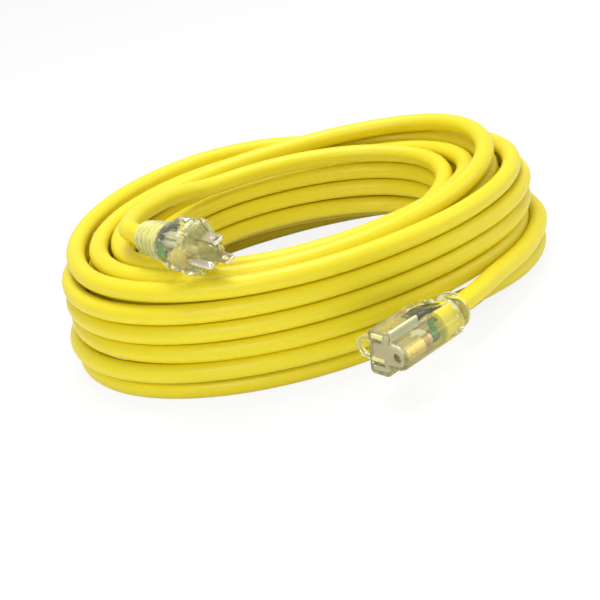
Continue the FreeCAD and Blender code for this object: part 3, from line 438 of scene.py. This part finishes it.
shield = softened([(5.6, -13.8, 3.2), (12.4, -6.0, 4.0), (13.4, 4.0, 6.0), (12.6, 12.8, 5.2),
                   (-12.6, 12.8, 5.2), (-13.4, 4.0, 6.0), (-12.4, -6.0, 4.0), (-5.6, -13.8, 3.2)])
relief = circles(shield, [(0, 5.8), (0.1, 6.8), (0.6, 7.7), (RIB_START, 8.3)])
for step in range(1, RIB_STEPS + 1):
    x = RIB_START + RIBS * RIB_SPACING * step / RIB_STEPS
    rib = abs(math.sin(math.pi * (x - RIB_START) / RIB_SPACING)) ** 0.5
    radius = RELIEF_RADIUS + RELIEF_TAPER * (x - RIB_START) + RIB_HEIGHT * rib
    relief += circles(shield, [(x, radius)])
shoulder = [ring(shield, x, 1.2, share, 11.0) for x, share in (
    (26.8, 0.93), (27.8, 0.75), (29.0, 0.5), (30.2, 0.25), (31.4, 0.08))]
grip = [ring(shield, x, inset) for x, inset in (
    (32.6, 1.15), (34.0, 0.95), (36.0, 0.9), (43.0, 0.9), (44.4, 1.2), (45.3, 1.9),
    (46.2, 2.3), (47.2, 2.3), (48.0, 1.5), (48.6, 0.5), (49.3, 0.05), (50.2, 0.0),
    (51.4, 0.1), (52.3, 0.5), (52.8, 1.1), (53.0, 1.8))]
moulding = fit("plug_moulding", skin(relief[-1:] + shoulder + grip), plug, clear_vinyl,
               crease=60)
strain_relief = fit("plug_strain_relief", skin(relief), plug, hazy_vinyl,
                    crease=60)
for item in (moulding, strain_relief):
    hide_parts("plug_body")

# Plug contacts: two flat blades stamped from brass with a nickel wash, each with an oval
# hole near its tip, and a longer round ground pin with a yellow sleeve round its root. They
# stand in a clear moulded bridge, under a tan frame.
BLADE_ACROSS, BLADE_ABOVE, GROUND_BELOW = 12.7 / 2, 4.0, 7.9
BLADE_HALF, BLADE_END, BLADE_THICKNESS, BLADE_EDGE = 3.175, 70.0, 1.52, 0.22
PIN_RADIUS, PIN_START, PIN_SHOULDER, PIN_TIP = 2.4, 53.0, 69.6, 3.4
FRAME_ABOVE, FRAME_THICKNESS, FRAME_EDGE = 10.6, 1.0, 0.2


def mesh_of(curve):
    """The mesh that a curve makes."""
    return bpy.data.meshes.new_from_object(bpy.data.objects.new(curve.name, curve))


def plate(outlines, thickness, edge):
    """A flat piece cut to the first outline, with the others as holes and its edges softened."""
    shape = bpy.data.curves.new("plate", "CURVE")
    shape.dimensions = "2D"
    shape.fill_mode = "BOTH"
    shape.extrude = thickness / 2 - edge
    shape.bevel_depth = edge
    shape.bevel_resolution = 2
    shape.offset = -edge
    for k, outline in enumerate(outlines):
        edge_line = shape.splines.new("POLY")
        edge_line.points.add(len(outline) - 1)
        for point, where in zip(edge_line.points, outline if k == 0 else reversed(outline)):
            point.co = (where.x, where.y, 0, 1)
        edge_line.use_cyclic_u = True
    return mesh_of(shape)


def turned(profile, above=0.0, count=40):
    """Rings of a round piece along a connector, from its (x, radius) profile."""
    angles = [2 * math.pi * k / count for k in range(count)]
    return [[Vector((x, radius * math.cos(a), above + radius * math.sin(a))) for a in angles]
            for x, radius in profile]


def mottled(name, dark, light, grain, roughness, others=None):
    """A material between two colours, with a grain of (scale, detail).

    The roughness is (least, spread), and others are further sockets of the shader.
    """
    made, shade = new_material(name)
    place = shade.node("TexCoord", {}, {}, "Object")
    mottle = shade.node("TexNoise", {}, {"Vector": place, "Scale": grain[0], "Detail": grain[1]})
    colour = shade.node("Mix", {"data_type": "RGBA"},
                        {"Factor": mottle, 6: (*dark, 1), 7: (*light, 1)}, 2)
    finish(shade, shade.node("BsdfPrincipled", {}, {
        "Base Color": colour, "Roughness": mottle * roughness[1] + roughness[0],
        **(others or {})}))
    return made


def dress(node, material):
    """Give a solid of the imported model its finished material."""
    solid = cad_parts[node]
    solid.data.materials.clear()
    solid.data.materials.append(material)


nickel, shade = new_material("nickel_washed_brass")
place = shade.node("TexCoord", {}, {}, "Object")
tarnish = shade.node("TexNoise", {}, {"Vector": place, "Scale": 260.0, "Detail": 4.0})
brushed = shade.node("TexNoise", {}, {"Vector": place, "Scale": 2600.0, "Detail": 2.0})
colour = shade.node("Mix", {"data_type": "RGBA"}, {
    "Factor": tarnish, 6: (0.84, 0.79, 0.64, 1), 7: (0.64, 0.56, 0.40, 1)}, 2)
bump = shade.node("Bump", {}, {"Strength": 0.1, "Distance": 0.0001, "Height": brushed})
finish(shade, shade.node("BsdfPrincipled", {}, {
    "Base Color": colour, "Metallic": 1.0, "Roughness": brushed * 0.15 + 0.2, "Normal": bump}))

blade_outline = softened([
    (38.5, -2.0, 0.4), (42.0, -2.0, 0.4), (42.5, -BLADE_HALF, 0.4), (BLADE_END, -BLADE_HALF, 2.2),
    (BLADE_END, BLADE_HALF, 2.2), (42.5, BLADE_HALF, 0.4), (42.0, 2.0, 0.4), (38.5, 2.0, 0.4)])
blade_hole = softened([(63.4, -1.5, 1.45), (68.4, -1.5, 1.45), (68.4, 1.5, 1.45),
                       (63.4, 1.5, 1.45)], 0.6)
for name, across in (("plug_hot_blade", -BLADE_ACROSS), ("plug_neutral_blade", BLADE_ACROSS)):
    lie = Matrix(((1, 0, 0, 0), (0, 0, -1, across), (0, 1, 0, BLADE_ABOVE), (0, 0, 0, 1)))
    stamping = plate([blade_outline, blade_hole], BLADE_THICKNESS, BLADE_EDGE)
    blade = fit(name + "_stamped", stamping, plug @ lie, nickel)
    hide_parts(name)
pin_profile = [(38.5, 0.6), (38.6, 2.0), (PIN_START - 0.2, 2.0), (PIN_START, PIN_RADIUS),
               (PIN_SHOULDER, PIN_RADIUS)]
for tilt in [math.radians(degrees) for degrees in range(10, 90, 10)]:
    pin_profile.append((PIN_SHOULDER + PIN_TIP * math.sin(tilt),
                        PIN_RADIUS * math.cos(tilt) ** 0.8))
ground_pin = fit("ground_pin_turned", skin(turned(pin_profile, -GROUND_BELOW)), plug, nickel)
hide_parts("plug_ground_pin")

sleeve_yellow = mottled("yellow_sleeve", (0.88, 0.58, 0.02), (0.95, 0.74, 0.05),
                        (300.0, 3.0), (0.3, 0.2))
sleeve_profile = [(41.6, 2.1), (41.6, 3.4), (41.9, 3.8), (46.4, 3.8), (46.8, 3.4), (46.8, 2.1)]
fit("ground_pin_sleeve", skin(turned(sleeve_profile, -GROUND_BELOW)), plug, sleeve_yellow)

bridge_clear = mottled("bridge_clear", (0.84, 0.82, 0.44), (0.92, 0.89, 0.58),
                       (220.0, 4.0), (0.1, 0.2), {"IOR": 1.1, "Transmission Weight": 0.8})
dress("plug_core", bridge_clear)
frame_tan = mottled("frame_tan", (0.50, 0.38, 0.22), (0.66, 0.54, 0.36), (300.0, 3.0), (0.3, 0.2))
frame_outline = softened([(39.0, -9.0, 0.6), (49.0, -9.0, 0.6), (49.0, 3.0, 0.6), (39.0, 3.0, 0.6)])
frame_window = softened([(41.2, -7.2, 0.4), (47.2, -7.2, 0.4), (47.2, 1.2, 0.4), (41.2, 1.2, 0.4)])
bridge_frame = plate([frame_outline, frame_window], FRAME_THICKNESS, FRAME_EDGE)
over = Matrix(((1, 0, 0, 0), (0, 1, 0, 0), (0, 0, 1, FRAME_ABOVE), (0, 0, 0, 1)))
fit("bridge_frame", bridge_frame, plug @ over, frame_tan)

# Wires: each insulated in vinyl, black for hot, white for neutral and green for ground, with
# bare copper where they are crimped to the contacts. The yellow jacket ends inside the
# moulding, splayed in the receptacle, where the hot wire bends over towards the top.
WIRE_RADIUS = 2.2


def insulation(name, dark, light):
    """Satin vinyl of one colour, with a fine grain."""
    return mottled(name, dark, light, (500.0, 3.0), (0.22, 0.15))


black = insulation("black_insulation", (0.006, 0.005, 0.005), (0.018, 0.014, 0.013))
white = insulation("white_insulation", (0.46, 0.44, 0.36), (0.60, 0.58, 0.50))
green = insulation("green_insulation", (0.03, 0.11, 0.02), (0.07, 0.20, 0.04))
copper = mottled("bare_copper", (0.62, 0.30, 0.16), (0.86, 0.50, 0.32),
                 (1800.0, 2.0), (0.25, 0.2), {"Metallic": 1.0})
for end in ("plug", "socket"):
    dress(end + "_hot_wire", black)
    dress(end + "_neutral_wire", white)
    dress(end + "_ground_wire", green)
    dress(end + "_wire_ends", copper)
    dress(end + "_jacket_end", jacket)
splay = turned([(7.0, 5.5), (10.0, 5.8), (14.0, 6.8), (18.0, 7.4), (21.6, 7.4), (22.0, 7.0)])
jacket_splay = fit("socket_jacket_splay", skin(splay), socket, jacket)
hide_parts("socket_jacket_end")
HOT_BEND = [(12.0, 3.0, 0.5), (17.0, 7.0, 1.5), (24.0, 9.6, 2.4), (31.0, 9.0, 3.4),
            (34.5, BLADE_ACROSS, BLADE_ABOVE), (39.0, BLADE_ACROSS, BLADE_ABOVE)]
hot_bend = round_curve("hot_bend", HOT_BEND, WIRE_RADIUS, 6)
hot_bend.use_fill_caps = True
hot_wire = fit("socket_hot_wire_bend", mesh_of(hot_bend), socket, black)
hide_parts("socket_hot_wire")

# Receptacle moulding: clear vinyl in a square prism with a round lobe along the ground
# contact, sloped down at its rear to a neck and a rounded collar. A flat ring of an ear
# stands beside the face, for hanging or locking it.
SIDE_HALF, SLOPE_END, SLOPE = 12.6, 31.5, 0.2
NECK_RADIUS = 8.2
SLOT_START, SLOT_END, SLOT_HALF_WIDTH = 57.0, 63.0, 1.15
EAR_AT, EAR_THICKNESS, EAR_EDGE = 58.0, 3.0, 0.7
prism = softened([(SIDE_HALF, -2.6, 2.2), (SIDE_HALF, 9.6, 2.4), (-SIDE_HALF, 9.6, 2.4),
                  (-SIDE_HALF, -2.6, 2.2), (-7.6, -3.0, 1.6), (-6.4, -10.5, 3.0),
                  (-4.6, -14.3, 3.4), (4.6, -14.3, 3.4), (6.4, -10.5, 3.0), (7.6, -3.0, 1.6)])
collar = circles(prism, [
    (0, 5.8), (0.0, 8.0), (0.3, 9.2), (1.1, 10.1), (2.2, 10.55), (3.6, 10.6), (4.8, 10.3),
    (5.7, 9.6), (6.3, 8.7), (7.0, 8.1), (8.0, 7.9), (9.6, 8.0)])
rear = []
for x, share in ((9.9, 0.9), (10.4, 0.6), (11.0, 0.3), (11.9, 0.1), (13.2, 0.0), (17.5, 0.0),
                 (24.0, 0.0), (30.0, 0.0), (33.0, 0.0), (45.0, 0.0), (59.8, 0.0)):
    slope = SIDE_HALF - max(0.0, SLOPE_END - x) * SLOPE
    rear.append([Vector((point.x, min(point.y, slope), point.z))
                 for point in ring(prism, x, 0, share, NECK_RADIUS)])
rim = [ring(prism, x, inset) for x, inset in ((60.8, 0.12), (61.5, 0.5), (61.9, 1.0), (62.0, 1.6))]


def carved(mesh, cutters):
    """The mesh with the room of every cutter taken out of it."""
    blank = bpy.data.objects.new("blank", mesh)
    bpy.context.collection.objects.link(blank)
    tools = []
    for cutter in cutters:
        tool = bpy.data.objects.new("cutter", cutter)
        bpy.context.collection.objects.link(tool)
        room = blank.modifiers.new("room", "BOOLEAN")
        room.object, room.operation, room.solver = tool, "DIFFERENCE", "EXACT"
        tools.append(tool)
    evaluated = blank.evaluated_get(bpy.context.evaluated_depsgraph_get())
    result = bpy.data.meshes.new_from_object(evaluated)
    for item in [blank] + tools:
        bpy.data.objects.remove(item)
    return result


def bar(start, end, half_across, half_above, across, above, radius):
    """Rings of a bar along a connector, with rounded corners."""
    section = softened([(half_across, -half_above, radius), (half_across, half_above, radius),
                        (-half_across, half_above, radius), (-half_across, -half_above, radius)],
                       0.8)
    return [[Vector((x, across + point.x, above + point.y)) for point in section]
            for x in (start, end)]


openings = [bar(SLOT_START, SLOT_END, SLOT_HALF_WIDTH, half_tall, across, BLADE_ABOVE, 0.4)
            for half_tall, across in ((3.6, BLADE_ACROSS), (4.3, -BLADE_ACROSS))]
openings.append(turned([(56.5, 2.6), (61.3, 2.6), (62.5, 3.3)], -GROUND_BELOW, count=32))
shell = carved(skin(collar + rear + rim), [skin(rings) for rings in openings])
moulding = fit("socket_moulding", shell, socket, clear_vinyl, crease=32)
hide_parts("socket_body")

ear_outline = softened([(6.6, 8.6, 0.3), (6.2, 16.0, 3.2), (2.6, 19.6, 2.4), (-2.6, 19.6, 2.4),
                        (-6.2, 16.0, 3.2), (-6.6, 8.6, 0.3)], 0.8)
ear_hole = softened([(4.2, 10.6, 0.8), (3.9, 15.2, 2.0), (1.6, 17.3, 1.4), (-1.6, 17.3, 1.4),
                     (-3.9, 15.2, 2.0), (-4.2, 10.6, 0.8)], 0.8)
ear = plate([ear_outline, ear_hole], EAR_THICKNESS, EAR_EDGE)
stand = Matrix(((0, 0, 1, EAR_AT), (1, 0, 0, 0), (0, 1, 0, 0), (0, 0, 0, 1)))
fit("socket_ear", ear, socket @ stand, clear_vinyl)

# Inner block of the receptacle: pale clear nylon with an off-white carrier and a beige face.
# It holds a folded brass spring behind each flat slot and a brass sleeve behind the ground
# hole, and a cream guard lies in the face beside each slot.
PANEL_INSET, GUARD_BESIDE = 2.9, 2.7
pale_nylon = mottled("pale_nylon", (0.86, 0.84, 0.56), (0.92, 0.90, 0.70),
                     (160.0, 4.0), (0.05, 0.15), {"IOR": 1.08, "Transmission Weight": 0.88})
dress("socket_core", pale_nylon)
off_white = mottled("off_white", (0.58, 0.57, 0.47), (0.70, 0.69, 0.60), (160.0, 4.0), (0.35, 0.2))
carrier = skin(bar(36.0, 58.8, 3.4, 1.0, 8.0, -1.6, 0.5))
fit("carrier_plate", carrier, socket, off_white)
face_beige = mottled("face_beige", (0.40, 0.35, 0.27), (0.52, 0.47, 0.38), (160.0, 4.0), (0.3, 0.2))
panel = carved(skin([ring(prism, x, PANEL_INSET) for x in (59.0, 60.2)]),
               [skin(rings) for rings in openings])
fit("face_panel", panel, socket, face_beige)

brass = mottled("stamped_brass", (0.86, 0.60, 0.12), (0.95, 0.76, 0.28),
                (400.0, 4.0), (0.2, 0.2), {"Metallic": 0.7})
for pole in ("hot", "neutral", "ground"):
    dress(f"socket_{pole}_contact", brass)
cream = mottled("cream_guard", (0.90, 0.78, 0.36), (0.94, 0.88, 0.62), (260.0, 3.0), (0.3, 0.2))
for name, across, half_tall in (("hot_guard", BLADE_ACROSS, 3.4),
                                ("neutral_guard", -BLADE_ACROSS, 3.9)):
    guard = skin(bar(59.7, 61.5, 1.0, half_tall, across + GUARD_BESIDE, BLADE_ABOVE, 0.4))
    fit(name, guard, socket, cream)

# Indicator lamp: a small neon bulb of tinted glass, held in the clear moulding behind the
# block, with bare leads and a resistor.
lamp_glass = mottled("lamp_glass", (0.85, 0.38, 0.12), (0.95, 0.60, 0.30),
                     (300.0, 2.0), (0.05, 0.1), {"Transmission Weight": 0.5, "IOR": 1.5})
dress("socket_lamp", lamp_glass)
dress("socket_lamp_leads", copper)
resistor_body = insulation("resistor_body", (0.50, 0.36, 0.18), (0.62, 0.48, 0.28))
dress("socket_lamp_resistor", resistor_body)
